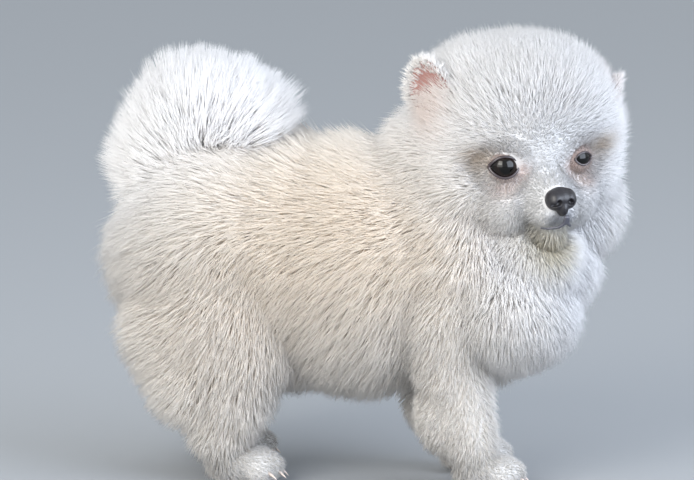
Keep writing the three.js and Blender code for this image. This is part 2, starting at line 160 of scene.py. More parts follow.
FLESH = [
    ball("torso", (14, 0, 95), (46, 29, 38), 25),
    ball("torso", (-20, 0, 96), (38, 25, 36), 27),
    ball("torso", (-48, 0, 98), (32, 28, 33), 28),
    ball("torso", (38, 0, 112), (26, 20, 26), 27),
    ball("torso", (54, 0, 93), (31, 27, 33), 25),
    limb("neck", (50, 0, 112), 25, (62, 6, 134), 22, 20),
    ball("neck", (52, 2, 136), (18, 20, 20), 23),
    ball("neck", (94, 14, 122), (14, 14, 14), 20),
    ball("neck", (54, -9, 124), (14, 14, 14), 20),
    ball("neck", (78, -13, 83), (16, 18, 16), 20),
    ball("neck", (86, -16, 104), (13, 12, 16), 14),
    ball("neck", (88, 5, 98), (13, 14, 14), 18),
    limb("tail", (-66, 0, 116), 7, (-73, 0, 138), 6, 28),
    limb("tail", (-73, 0, 138), 6, (-63, 0, 156), 5, 33),
    limb("tail", (-63, 0, 156), 5, (-46, 0, 153), 4, 31),
    ball("crown", (-2, 0, 1), (33, 31, 30), CROWN_COAT, True),
    ball("crown", (-5, -12, 12), (20, 18.5, 18.5), CROWN_COAT, True),
    ball("crown", (-5, 12, 10), (20, 18.5, 18.5), CROWN_COAT, True),
    ball("cheek", (2, 15, -15), (20, 15, 16), CROWN_COAT, True),
    ball("cheek", (2, -15, -15), (20, 15, 16), CROWN_COAT, True),
    ball("cheek", (15, 13, -23), (13, 10, 11), 7, True),
    ball("cheek", (15, -13, -23), (13, 10, 11), 7, True),
    ball("face", (17.5, 14.5, -7), (10, 10, 10), 1.5, True),
    ball("face", (16.6, -16.2, -7), (10, 10, 10), 1.5, True),
    limb("muzzle", (14, 0, -17), 15, (34, 0, -23), 9, 1.8, True),
    ball("muzzle", (34, 4.6, -27), (9, 6, 6), 1.6, True),
    ball("muzzle", (34, -4.6, -27), (9, 6, 6), 1.6, True),
    limb("chin", (8, 0, -31), 10, (30, 0, -35), 5.6, 7.0, True),
] + leg_masses()

PLUME_BASE = np.array((-64, 0, 126))

# How each region's coat grows: tufts for each square millimetre, width at the widest in millimetres,
# degrees from the surface at the root and at the tip, how far the tips cling together, and how far out
# through the coat its woolly underfur stands.
DENSITY, WIDTH, STAND, CLING, UNDERFUR = range(5)
GROWTH = {
    "torso": (1.9, 0.45, (56, 30), 0.3, 0.47),
    "neck": (2.25, 0.43, (58, 32), 0.2, 0.47),
    "tail": (2.6, 0.45, (58, 32), 0.42, 0.46),
    "crown": (2.85, 0.37, (62, 36), 0.12, 0.47),
    "cheek": (2.85, 0.38, (60, 34), 0.15, 0.47),
    "face": (4.6, 0.3, (46, 22), 0.05, 0.0),
    "muzzle": (4.6, 0.28, (42, 18), 0.05, 0.0),
    "chin": (3.4, 0.32, (56, 30), 0.15, 0.0),
    "foreleg": (1.4, 0.43, (56, 30), 0.15, 0.42),
    "hindleg": (1.3, 0.47, (56, 30), 0.28, 0.44),
    "paw": (3.0, 0.32, (40, 18), 0.1, 0.0),
}
# The coat's pieces, and their regions.
PIECES = {
    "torso": ("torso",),
    "neck": ("neck",),
    "tail": ("tail",),
    "head": ("crown", "cheek"),
    "face": ("face", "muzzle", "chin"),
    "legs": ("foreleg", "hindleg", "paw"),
}
REGIONS = list(GROWTH)
MOST_TRIANGLES = 190000
# The share of short tufts, how many long ones make a lock, and the share that strays out of the coat.
SHORT_SHARE = 0.45
LOCK_SIZE = 26
STRAY_SHARE = 0.07


# Sums over rows of places or directions.

def lengths(rows):
    return np.linalg.norm(rows, axis=1)


def unit(rows):
    """Directions, scaled to a length of 1."""
    return rows / np.maximum(lengths(rows), 1e-9)[:, None]


def bell(places, centre, radius, power=2):
    """1 at the centre, and less and less round it."""
    return np.exp(-(lengths(places - centre) / radius) ** power)


def smooth(x, low, high):
    """From 0 at low to 1 at high, without a corner."""
    t = np.clip((x - low) / (high - low), 0, 1)
    return t * t * (3 - 2 * t)


def toward(a, b, share):
    return np.asarray(a) * (1 - share[:, None]) + np.asarray(b) * share[:, None]


def head_places(places):
    """Places in the body's frame, in the head's frame."""
    return (places - np.array(SKULL_AT)) @ HEAD_ROWS


# Colours.

def picked(code):
    """sRGB parts from 0 to 1 of a hex code."""
    return tuple(int(code[i:i + 2], 16) / 255 for i in (0, 2, 4))


def linear(colour):
    """A colour picked in sRGB, as a hex code or its parts, as the shaders and the attributes hold it."""
    parts = picked(colour) if isinstance(colour, str) else colour
    return np.array([c / 12.92 if c <= 0.04045 else ((c + 0.055) / 1.055) ** 2.4 for c in parts])


def opaque(code):
    return (*linear(code), 1)


# Where the white coat is tinted, or darkened by painted shade: a centre in millimetres, a radius, a colour
# and how strong it is.
# Head places are in the head's frame, and both lists hold for the left side as for the right.
BODY_TINTS = (
    ((20, 40, 125), 34, "FBF2E6", 0.5),  # shoulder
    ((-18, 42, 105), 38, "FAF1E5", 0.5),  # flank
    ((-60, 38, 80), 34, "FAF5EF", 0.5),  # breeches
    ((45, 34, 110), 24, "FBF3E8", 0.45),  # side of the neck
)
HEAD_TINTS_AND_SHADE = (
    ((22, 16.5, -6.4), 8.5, "A08A7C", 0.4),  # painted shade round the lids, under the brow
    ((26, 18, -14.5), 5.5, "EBCDBE", 0.28),  # tear stain under the eye
    ((20, 25, -3), 5, "C9B294", 0.5),  # outer corner
    ((28, 12, -9), 3.5, "D9B6A8", 0.4),  # inner corner
    ((43, 1.5, -28.5), 4.6, "8A8E9B", 0.75),  # lips
    ((30, 0, -40), 10, "D6CCAE", 0.6),  # chin: a tan tint with painted shade under the jaw
    ((4, 38, 14), 10, "F6E9E2", 0.6),  # below the ear
)


def coat_colours(places, settings):
    """The coat's linear colour at places in the body's frame, in millimetres, with painted shade on short
    hair, round the lids and under the chin.
    """
    of_head = head_places(places)
    # The head, plume and chest are a cooler white than the back and flanks.
    near_head = bell(of_head, (0, 0, 0), 62, 4)
    near_plume = bell(places, PLUME_BASE + (0, 0, 28), 52, 4)
    near_chest = bell(places, (92, -10, 85), 34)
    share = np.clip(near_head + near_plume + near_chest, 0, 1) * 0.85
    colours = toward(linear(settings.coat_white), linear(settings.coat_cool), share)
    # Painted shade: short hair on the face and paws, and the face most, is darkened to match the deep coat,
    # which shades itself.
    short = 1 - smooth(blends(places)[1], 2, 14)
    painted_face_shade = bell(of_head, (26, 0, 8), 30, 3)
    colours *= ((1 - 0.2 * short) * (1 - 0.12 * painted_face_shade))[:, None]
    for tints, at in ((BODY_TINTS, places), (HEAD_TINTS_AND_SHADE, of_head)):
        folded = np.where((False, True, False), np.abs(at), at)
        for centre, radius, code, strength in tints:
            share = strength * bell(folded, centre, radius) * settings.tint
            colours = toward(colours, linear(code), share)
    return colours


# Materials.

def add_node(tree, kind, links=(), values=(), **settings):
    """Adds a shader node: its inputs' links and values as pairs, and other inputs and settings by name."""
    node = tree.nodes.new(kind)
    for name, value in settings.items():
        socket = node.inputs.get(name.replace("_", " "))
        if socket:
            socket.default_value = value
        else:
            setattr(node, name, value)
    for key, value in values:
        node.inputs[key].default_value = value
    for key, output in links:
        tree.links.new(output, node.inputs[key])
    return node


def new_material(name):
    """An empty node material and its tree."""
    made = bpy.data.materials.new(name)
    made.use_nodes = True
    made.node_tree.nodes.clear()
    return made, made.node_tree


def puppy_hair():
    """Soft undyed hair. It lets light through from tuft to tuft, which keeps a white coat's shade pale."""
    made, tree = new_material("soft_white_hair")
    tint = add_node(tree, "ShaderNodeAttribute", attribute_name="coat_colour")
    place = add_node(tree, "ShaderNodeTexCoord")
    # Neighbouring tufts differ a little in shade, over patches of about 4 mm.
    patches = add_node(tree, "ShaderNodeTexNoise", [("Vector", place.outputs["Object"])], Scale=240.0,
                       Detail=2.0)
    shade = add_node(tree, "ShaderNodeMapRange", [("Value", patches.outputs["Fac"])], From_Min=0.3,
                     From_Max=0.7, To_Min=0.97, To_Max=1.0)
    colour = add_node(tree, "ShaderNodeVectorMath", [("Vector", tint.outputs["Color"]),
                                                     ("Scale", shade.outputs["Result"])], operation="SCALE")
    hair = add_node(tree, "ShaderNodeBsdfPrincipled", [("Base Color", colour.outputs["Vector"])],
                    Roughness=0.75, IOR=1.55, Specular_IOR_Level=0.2, Sheen_Weight=0.2, Sheen_Roughness=0.5)
    through = add_node(tree, "ShaderNodeBsdfTranslucent", [("Color", colour.outputs["Vector"])])
    both = add_node(tree, "ShaderNodeMixShader", [(1, hair.outputs["BSDF"]), (2, through.outputs["BSDF"])],
                    Fac=0.58)
    add_node(tree, "ShaderNodeOutputMaterial", [("Surface", both.outputs["Shader"])])
    return made


def undercoat():
    """Dense short underfur on the skin: matt, with a fine bump, in the colours written on each piece; on the
    skin these are the tufts' colours with painted shade.
    """
    made, tree = new_material("plush_underfur")
    tint = add_node(tree, "ShaderNodeAttribute", attribute_name="coat_colour")
    place = add_node(tree, "ShaderNodeTexCoord")
    # Clumps of underfur about 1 mm across.
    clumps = add_node(tree, "ShaderNodeTexNoise", [("Vector", place.outputs["Object"])], Scale=900.0,
                      Detail=3.0, Roughness=0.6)
    bump = add_node(tree, "ShaderNodeBump", [("Height", clumps.outputs["Fac"])], Strength=0.6,
                    Distance=0.0006)
    fur = add_node(tree, "ShaderNodeBsdfPrincipled", [("Base Color", tint.outputs["Color"]),
                                                      ("Normal", bump.outputs["Normal"])],
                   Roughness=0.85, Sheen_Weight=0.3, Sheen_Roughness=0.5)
    add_node(tree, "ShaderNodeOutputMaterial", [("Surface", fur.outputs["BSDF"])])
    return made


def wet_eye():
    """A puppy's eye: a black pupil in a nearly black brown iris under a wet clear cornea."""
    made, tree = new_material("wet_dark_eye")
    seen = add_node(tree, "ShaderNodeAttribute", attribute_name="off_axis")
    rings = add_node(tree, "ShaderNodeValToRGB", [("Fac", seen.outputs["Fac"])])
    # Pupil, iris, the dark edge of the iris, and the white with its brownish rim.
    stops = [(0.0, "030202"), (0.26, "040302"), (0.33, "150C08"), (0.52, "100A07"), (0.6, "060404"),
             (0.72, "1A1412"), (0.85, "5E5552")]
    ramp = rings.color_ramp
    while len(ramp.elements) < len(stops):
        ramp.elements.new(0.5)
    for element, (at, code) in zip(ramp.elements, stops):
        element.position = at
        element.color = opaque(code)
    eye = add_node(tree, "ShaderNodeBsdfPrincipled", [("Base Color", rings.outputs["Color"])],
                   Roughness=0.04, IOR=1.376)
    add_node(tree, "ShaderNodeOutputMaterial", [("Surface", eye.outputs["BSDF"])])
    return made


def bare_skin(name, code, deep, rough, grain, depth, coat=0.0):
    """Hairless skin: moist leather or a thin ear lining, mottled, with a pebbled grain."""
    made, tree = new_material(name)
    place = add_node(tree, "ShaderNodeTexCoord")
    mottle = add_node(tree, "ShaderNodeTexNoise", [("Vector", place.outputs["Object"])], Scale=grain / 4,
                      Detail=3.0)
    colour = add_node(tree, "ShaderNodeMix", [("Factor", mottle.outputs["Fac"])],
                      [(6, opaque(code)), (7, opaque(deep))], data_type="RGBA")
    pebbles = add_node(tree, "ShaderNodeTexVoronoi", [("Vector", place.outputs["Object"])], Scale=grain)
    bump = add_node(tree, "ShaderNodeBump", [("Height", pebbles.outputs["Distance"])], Strength=0.5,
                    Distance=depth)
    skin = add_node(tree, "ShaderNodeBsdfPrincipled", [("Base Color", colour.outputs[2]),
                                                       ("Normal", bump.outputs["Normal"])],
                    Roughness=rough, Coat_Weight=coat, Coat_Roughness=0.25)
    add_node(tree, "ShaderNodeOutputMaterial", [("Surface", skin.outputs["BSDF"])])
    return made


def claw_horn():
    """Claw: pale translucent horn, smooth, with faint growth rings."""
    made, tree = new_material("pale_claw_horn")
    place = add_node(tree, "ShaderNodeTexCoord")
    rings = add_node(tree, "ShaderNodeTexWave", [("Vector", place.outputs["Object"])], Scale=900.0,
                     Distortion=2.0)
    colour = add_node(tree, "ShaderNodeMix", [("Factor", rings.outputs["Fac"])],
                      [(6, opaque("CDBFB4")), (7, opaque("B7A79C"))], data_type="RGBA")
    horn = add_node(tree, "ShaderNodeBsdfPrincipled", [("Base Color", colour.outputs[2])], Roughness=0.35)
    add_node(tree, "ShaderNodeOutputMaterial", [("Surface", horn.outputs["BSDF"])])
    return made


# Modelling.

def clear_selection():
    if bpy.context.object and bpy.context.object.mode != "OBJECT":
        bpy.ops.object.mode_set(mode="OBJECT")
    bpy.ops.object.select_all(action="DESELECT")


def select_only(*pieces):
    """Selects pieces, of which the first is the active one."""
    clear_selection()
    for piece in pieces:
        piece.select_set(True)
    bpy.context.view_layer.objects.active = pieces[0]


def add_spheroid(at, radii, turn=(0, 0, 0), segments=20, rings=10):
    """A sphere added at its place and size, in metres."""
    bpy.ops.mesh.primitive_uv_sphere_add(segments=segments, ring_count=rings, radius=1, location=at,
                                         rotation=turn, scale=radii)
    return bpy.context.object


def join_pieces(pieces, name):
    """Joins pieces into one object whose place is in its mesh."""
    select_only(*pieces)
    if len(pieces) > 1:
        bpy.ops.object.join()
    made = bpy.context.object
    bpy.ops.object.transform_apply(location=True, rotation=True, scale=True)
    made.name = name
    made.data.name = name
    return made


def apply_modifier(piece, kind, **settings):
    select_only(piece)
    modifier = piece.modifiers.new(kind.lower(), kind)
    for name, value in settings.items():
        setattr(modifier, name, value)
    bpy.ops.object.modifier_apply(modifier=modifier.name)


def shade_smooth(piece):
    select_only(piece)
    bpy.ops.object.shade_smooth()


def unwrap(piece):
    """Opens the piece's own shape into a map named OFBake."""
    select_only(piece)
    for layer in list(piece.data.uv_layers):
        piece.data.uv_layers.remove(layer)
    piece.data.uv_layers.new(name="OFBake")
    bpy.ops.object.mode_set(mode="EDIT")
    bpy.ops.mesh.select_all(action="SELECT")
    bpy.ops.uv.smart_project(angle_limit=math.radians(66), island_margin=0.002)
    bpy.ops.object.mode_set(mode="OBJECT")


def dress(piece, material, slot, *nodes):
    """Gives a piece its material and its body, and hides the solids that it stands for. The slot is not used.
    """
    piece.data.materials.clear()
    piece.data.materials.append(material)
    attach(piece, "root")
    if nodes:
        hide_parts(*nodes)


def rows_of(items, key, width, kind=np.float32):
    """One of the values that a mesh keeps for each of its items, as rows."""
    flat = np.empty(len(items) * width, kind)
    items.foreach_get(key, flat)
    return flat.reshape(-1, width)


def vertex_places(mesh):
    return rows_of(mesh.vertices, "co", 3).astype(float)


def write_colours(mesh, colours):
    """Writes linear colours to the attribute that the coat's materials read."""
    layer = mesh.attributes.new("coat_colour", "FLOAT_COLOR", "POINT")
    full = np.ones((len(colours), 4), np.float32)
    full[:, :3] = colours
    layer.data.foreach_set("color", full.ravel())


def in_body_frame(places):
    """Scene places in metres, in the body's frame in millimetres."""
    return np.asarray(places) / MM - np.array(MOVED)


def to_scene(places):
    return (np.asarray(places) + np.array(MOVED)) * MM


# The coat.

def mass_distances(places, mass):
    """How far places in the body's frame are from a mass's surface, in millimetres."""
    if mass["head"]:
        places = head_places(places)
    if "at" in mass:
        radii = np.array(mass["radii"], float)
        scaled = (places - mass["at"]) / radii
        k = lengths(scaled)
        return k * (k - 1) / np.maximum(lengths(scaled / radii), 1e-9)
    start = np.array(mass["start"], float)
    along = np.array(mass["end"], float) - start
    t = np.clip((places - start) @ along / (along @ along), 0, 1)
    radius = mass["radii"][0] + (mass["radii"][1] - mass["radii"][0]) * t
    return lengths(places - start - t[:, None] * along) - radius


def blends(places):
    """For each place, every region's share and the coat's depth, from how near each mass is."""
    weights = np.stack([np.exp(-mass_distances(places, mass) / 2.5) for mass in FLESH], 1)
    weights /= weights.sum(1, keepdims=True)
    # On the skull the coat grows deeper from the face to the crown and cheeks.
    along_face = unit(head_places(places)) @ np.array(FACE_AXIS)
    off_face = np.degrees(np.arccos(np.clip(along_face, -1, 1)))
    on_skull = FACE_COAT + (CROWN_COAT - FACE_COAT) * smooth(off_face, 20, 72)
    shares = np.zeros((len(places), len(REGIONS)))
    depths = np.zeros(len(places))
    for i, mass in enumerate(FLESH):
        shares[:, REGIONS.index(mass["region"])] += weights[:, i]
        depths += weights[:, i] * (on_skull if mass["coat"] == CROWN_COAT else mass["coat"])
    return shares, depths


def grown(shares, column):
    """A column of GROWTH at each place, from its regions' shares."""
    return shares @ np.array([GROWTH[region][column] for region in REGIONS], float)


def lies(places, normals, shares):
    """Which way the coat lies at each place: a direction along the body, before it is laid on the skin."""
    head = head_places(places)
    face_axis = np.array(HEAD_TURN @ FACE_AXIS)
    x = places[:, 0]
    up = normals[:, 2]
    belly = toward((-0.35, 0, -1), (0, 0, 0), smooth(up, -0.9, -0.5))
    back = toward((-1, 0, -0.25), (-0.75, 0, -0.9), smooth(-up, -0.7, 0.2))
    back = toward(back, belly, smooth(-up, 0.5, 0.9))
    rump = toward(back, (-0.8, 0, -0.75), smooth(-x, 45, 80))
    mane = toward((-0.75, 0, -0.7), (0.1, -0.1, -1), smooth(x, 45, 80))
    off_nose = unit(head - NOSE_AT) @ HEAD_ROWS.T
    by_region = {
        "torso": toward(rump, (0.15, 0, -1), smooth(x, 40, 72)),
        "neck": mane + 0.5 * unit(places - SKULL_AT),
        "tail": unit(places - PLUME_BASE),
        "crown": -face_axis + (0, 0, 0.15),
        "cheek": -face_axis * 0.7 + (0, 0, -0.6),
        "face": off_nose,
        "muzzle": off_nose,
        "chin": off_nose + (0, 0, -0.3),
        "foreleg": (-0.35, 0, -1),
        "hindleg": toward((-0.3, 0, -1), (-0.8, 0, -0.7), smooth(-x, 45, 72)),
        "paw": (0.9, 0, -0.5),
    }
    lie = sum(shares[:, [i]] * by_region[region] for i, region in enumerate(REGIONS))
    # Round each eye the hair parts from the lids.
    for at in EYE_AT.values():
        near = 1 - smooth(lengths(head - at), 8, 15)
        lie += 2.5 * near[:, None] * unit(head - at) @ HEAD_ROWS.T
    return lie


def triangles_of(piece):
    """The numbers of each triangle's corners, and the corners' places, normals and places on the map."""
    mesh = piece.data
    mesh.calc_loop_triangles()
    corners = rows_of(mesh.loop_triangles, "vertices", 3, np.int32)
    loops = rows_of(mesh.loop_triangles, "loops", 3, np.int32)
    places = in_body_frame(vertex_places(mesh))
    normals = rows_of(mesh.vertices, "normal", 3)
    uv = rows_of(mesh.uv_layers["OFBake"].uv, "vector", 2)
    return corners, places[corners], normals[corners], uv[loops]


def areas_of(places):
    a, b, c = (places[:, i] for i in range(3))
    return lengths(np.cross(b - a, c - a)) / 2


def spots_in(drawn, parts, *surface):
    """The place, normal and place on the map of a spot in each triangle drawn, from its corners' parts."""
    roots, facing, uv = ((values[drawn] * parts[:, :, None]).sum(1) for values in surface)
    return roots, unit(facing), uv


def sample_skin(skin, rng):
    """Roots spread at random over the skin, as many as each region's growth asks."""
    _, places, normals, uv = triangles_of(skin)
    shares, _ = blends((places[:, 0] + places[:, 1] + places[:, 2]) / 3)
    expected = areas_of(places) * grown(shares, DENSITY)
    total = int(expected.sum())
    # Evenly stepped draws spread the roots better than free ones.
    steps = (np.arange(total) + rng.random(total)) / total * expected.sum()
    drawn = np.searchsorted(np.cumsum(expected), steps).clip(0, len(places) - 1)
    u, v = rng.random(total), rng.random(total)
    flip = u + v > 1
    u[flip], v[flip] = 1 - u[flip], 1 - v[flip]
    return spots_in(drawn, np.stack([1 - u - v, u, v], 1), places, normals, uv)


def scatter(piece, count, rng):
    """Roots spread at random over a small piece."""
    corners, places, normals, uv = triangles_of(piece)
    # Blender lists a sphere's faces in another order each time, so they are taken by their corners' numbers.
    order = np.lexsort(corners.T)
    places, normals, uv = places[order], normals[order], uv[order]
    areas = areas_of(places)
    drawn = rng.choice(len(areas), count, p=areas / areas.sum())
    return spots_in(drawn, rng.dirichlet((1, 1, 1), count), places, normals, uv)


def eye_frame(sign):
    """The middle of an eye's opening in the head's frame: outwards, across and up."""
    outward = Vector((1, sign * 0.26, 0.03)).normalized()
    across = Vector((0, 0, 1)).cross(outward).normalized()
    return outward, across, outward.cross(across)


def off_the_face(roots):
    """Which roots are clear of the eyes' openings and the nose leather, and stand off the floor."""
    head = head_places(roots)
    clear = roots[:, 2] > 0.6
    for sign in (-1, 1):
        outward, across, above = (np.array(axis) for axis in eye_frame(sign))
        off_eye = head - EYE_AT[sign]
        far = lengths(off_eye)
        wide, tall = EYE_OPENING[sign]
        opening = np.hypot(off_eye @ across / (wide + 0.8), off_eye @ above / (tall + 0.6))
        clear &= (opening > 1) | (off_eye @ outward < 0) | (far > 14)
        clear &= far > EYE_RADIUS - 0.3
    return clear & (lengths((head - NOSE_AT) / (6.1, 6.3, 5.4)) > 1)


def grow_lines(roots, normals, lie, length, stand, rng, knots):
    """The middle lines of tufts: their points from root to tip, bending from the first angle to the last."""
    flow = unit(lie - (lie * normals).sum(1, keepdims=True) * normals)
    # Each tuft strays to one side by its own small angle.
    side = np.cross(normals, flow)
    stray = rng.normal(0, 0.22, len(roots))[:, None]
    flow = flow * np.cos(stray) + side * np.sin(stray)
    side = np.cross(normals, flow)
    points = [roots - normals * 0.8]
    for i in range(knots - 1):
        s = (i + 0.5) / (knots - 1)
        angle = np.radians(stand[:, 0] * (1 - s) + stand[:, 1] * s)[:, None]
        step = flow * np.cos(angle) + normals * np.sin(angle)
        points.append(points[-1] + step * length[:, None] / (knots - 1))
    return np.stack(points, 1), side


def in_regions(region, names):
    return np.isin(region, [REGIONS.index(name) for name in names])


def locks_of(roots, members, rng):
    """For each root, the root in the middle of its lock of hair. A lock has about so many members."""
    count = max(int(len(roots) / members), 1)
    chosen = rng.choice(len(roots), count, replace=False)
    tree = kdtree.KDTree(count)
    for i, root in enumerate(chosen):
        tree.insert(Vector(roots[root]), i)
    tree.balance()
    return np.array([chosen[tree.find(Vector(root))[1]] for root in roots])


def draw_together(lines, nearest, length, cling, rng):
    """Pulls the tips of each lock's tufts together, as soft hair clings."""
    knots = lines.shape[1]
    pull = (cling * rng.uniform(0.5, 1.2, len(lines)))[:, None]
    away = lines[nearest, -1] - lines[:, -1]
    away *= np.minimum(1, 0.5 * length / np.maximum(lengths(away), 1e-6))[:, None]
    for i in range(1, knots):
        lines[:, i] += away * pull * (i / (knots - 1)) ** 1.8
    return lines


# A tuft's width at its rings, from the root, against its greatest, for each number of rings.
RING_WIDTHS = {1: (1.0,), 2: (0.85, 0.8), 3: (0.8, 1.0, 0.66)}
TUFT_SIDES = 3
# How far the points of a tuft lie from its root's place on the map.
MAP_REACH = 0.0013


def tuft_shapes(lines, side, width, uv, colours):
    """The places, places on the map and colours of the points of tufts along their lines."""
    count, knots = lines.shape[:2]
    rings = knots - 1
    each = rings * TUFT_SIDES + 1
    places, marks, shades = (np.empty((count, each, size)) for size in (3, 2, 3))
    along = np.gradient(lines, axis=1)
    for ring in range(rings):
        above = unit(np.cross(along[:, ring], side))
        half = RING_WIDTHS[rings][ring] * np.broadcast_to(width, count)[:, None] / 2
        for k in range(TUFT_SIDES):
            angle = math.tau * k / TUFT_SIDES + math.pi / 2
            places[:, ring * TUFT_SIDES + k] = lines[:, ring] + side * math.cos(angle) * half * 1.15 \
                + above * math.sin(angle) * half * 0.7
            up_the_map = ring / rings * 2 - 1
            marks[:, ring * TUFT_SIDES + k] = uv + np.array((math.cos(angle), up_the_map)) * MAP_REACH
    places[:, -1] = lines[:, -1]
    marks[:, -1] = uv + (0, 0.0015)
    shades[:] = colours[:, None]
    return places, marks, shades


def tuft_faces(rings):
    """The faces of one closed tuft, by the numbers of their points: its sides, its tip and its root."""
    last = (rings - 1) * TUFT_SIDES
    turns = [(k, (k + 1) % TUFT_SIDES) for k in range(TUFT_SIDES)]
    faces = [(ring + a, ring + b, ring + TUFT_SIDES + b, ring + TUFT_SIDES + a)
             for ring in range(0, last, TUFT_SIDES) for a, b in turns]
    return faces + [(last + a, last + b, last + TUFT_SIDES) for a, b in turns] + [(2, 1, 0)]


def triangles_in(knots):
    """How many triangles a tuft has."""
    return 6 * (knots - 2) + 4


def tuft_mesh(name, lines, side, width, uv, colours):
    """One mesh of closed three-sided tufts along their lines."""
    places, marks, shades = tuft_shapes(lines, side, width, uv, colours)
    count, each = places.shape[:2]
    faces = tuft_faces(lines.shape[1] - 1)
    pattern = np.concatenate(faces)
    starts = np.cumsum([0] + [len(face) for face in faces[:-1]])
    tufts = np.arange(count)[:, None]
    corners = (pattern + each * tufts).ravel().astype(np.int32)
    mesh = bpy.data.meshes.new(name)
    mesh.vertices.add(count * each)
    mesh.vertices.foreach_set("co", to_scene(places.reshape(-1, 3)).astype(np.float32).ravel())
    mesh.loops.add(len(corners))
    mesh.loops.foreach_set("vertex_index", corners)
    mesh.polygons.add(count * len(faces))
    mesh.polygons.foreach_set("loop_start", (starts + len(pattern) * tufts).ravel().astype(np.int32))
    mesh.polygons.foreach_set("use_smooth", np.ones(count * len(faces), bool))
    mesh.update(calc_edges=True)
    layer = mesh.uv_layers.new(name="OFBake")
    layer.uv.foreach_set("vector", marks.reshape(-1, 2)[corners].astype(np.float32).ravel())
    write_colours(mesh, shades.reshape(-1, 3))
    piece = bpy.data.objects.new(name, mesh)
    bpy.context.scene.collection.objects.link(piece)
    return piece


def piece_named(name):
    piece = bpy.data.objects.get(name)
    if piece is None:
        raise RuntimeError(f"{name} has to be modelled first")
    return piece


class PuppySettings(bpy.types.PropertyGroup):
    """Sizes and colours that a user would change."""

    coat_white: bpy.props.FloatVectorProperty(
        name="Coat", description="Colour of the back and flanks", subtype="COLOR_GAMMA", size=3, min=0, max=1,
        default=picked("FEFBF7"))
    coat_cool: bpy.props.FloatVectorProperty(
        name="Cool coat", description="Colour of the head, chest and plume", subtype="COLOR_GAMMA", size=3,
        min=0, max=1, default=picked("FEFEFF"))
    # The tint also scales the painted shade round the lids and under the chin.
    tint: bpy.props.FloatProperty(
        name="Tint", description="How strong the cream and tear tints are", default=1.0, min=0, max=1,
        subtype="FACTOR")
    length: bpy.props.FloatProperty(
        name="Coat length", description="Length of the coat against the solids' depth", default=1.0, min=0.5,
        max=1.2)
    width: bpy.props.FloatProperty(
        name="Tuft width", description="Width of the tufts against their usual width", default=1.0, min=0.5,
        max=2.0)
    cling: bpy.props.FloatProperty(
        name="Cling", description="How far tips draw together in locks", default=0.5, min=0, max=1,
        subtype="FACTOR")
    skin_grid: bpy.props.FloatProperty(
        name="Skin grid", description="Size of the skin's faces", default=0.0017, min=0.001, max=0.005,
        subtype="DISTANCE", unit="LENGTH")
    seed: bpy.props.IntProperty(
        name="Seed", description="Another number strays the tufts another way", default=7)


class PUPPY_OT_skin(bpy.types.Operator):
    """Model the skin from its rounded masses"""

    bl_idname = "puppy.skin"
    bl_label = "Skin"

    def execute(self, context):
        settings = context.scene.puppy
        clear_selection()
        pieces = []
        turn = HEAD_TURN.to_euler()
        for mass in FLESH:
            put, way = (from_head, turn) if mass["head"] else (Vector, (0, 0, 0))
            if "at" in mass:
                radii = [r * MM for r in mass["radii"]]
                pieces.append(add_spheroid(placed(put(mass["at"])), radii, way))
                continue
            start, end = put(mass["start"]), put(mass["end"])
            first, last = mass["radii"]
            for i in range(8):
                t = i / 7
                radius = (first * (1 - t) + last * t) * MM
                pieces.append(add_spheroid(placed(start.lerp(end, t)), [radius] * 3))
        skin = join_pieces(pieces, "skin")
        apply_modifier(skin, "REMESH", mode="VOXEL", voxel_size=settings.skin_grid)
        apply_modifier(skin, "SMOOTH", factor=0.5, iterations=8)
        self.weigh(skin)
        apply_modifier(skin, "DISPLACE", strength=self.rise * MM, mid_level=0, vertex_group="underfur")
        apply_modifier(skin, "REMESH", mode="VOXEL", voxel_size=settings.skin_grid)
        apply_modifier(skin, "SMOOTH", factor=0.5, iterations=4)
        # Deep underfur fills the creases between the limbs and the trunk.
        self.weigh(skin)
        apply_modifier(skin, "SMOOTH", factor=0.5, iterations=60, vertex_group="underfur")
        # The paws stand flat on the floor.
        select_only(skin)
        bpy.ops.object.mode_set(mode="EDIT")
        bpy.ops.mesh.select_all(action="SELECT")
        bpy.ops.mesh.bisect(plane_co=(0, 0, 0.0003), plane_no=(0, 0, 1), clear_inner=True, use_fill=True)
        bpy.ops.object.mode_set(mode="OBJECT")
        shade_smooth(skin)
        unwrap(skin)
        self.colour(skin, settings)
        nodes = ["head", "lower_jaw", "neck", "torso", "tail"]
        nodes += [f"{part}_{side}" for part in ("foreleg", "hindleg", "forepaw", "hindpaw")
                  for side in ("left", "right")]
        dress(skin, undercoat(), "long_coat", *nodes)
        return {"FINISHED"}

    def colour(self, skin, settings):
        """The underfur takes the coat's colours with painted shade: a little darker under the deep coat, and
        much darker under short hair, where lit skin shows between the shaded tufts.
        """
        places = in_body_frame(vertex_places(skin.data))
        deep = smooth(blends(places)[1], 2, 10)[:, None]
        write_colours(skin.data, coat_colours(places, settings) * (0.66 + 0.3 * deep))

    def weigh(self, skin):
        """Marks how far the woolly underfur stands off the bare skin, as a share of the most."""
        skin.vertex_groups.clear()
        group = skin.vertex_groups.new(name="underfur")
        shares, depths = blends(in_body_frame(vertex_places(skin.data)))
        rises = depths * grown(shares, UNDERFUR)
        self.rise = float(rises.max())
        for i, rise in enumerate(rises):
            group.add([i], float(rise) / self.rise, "REPLACE")


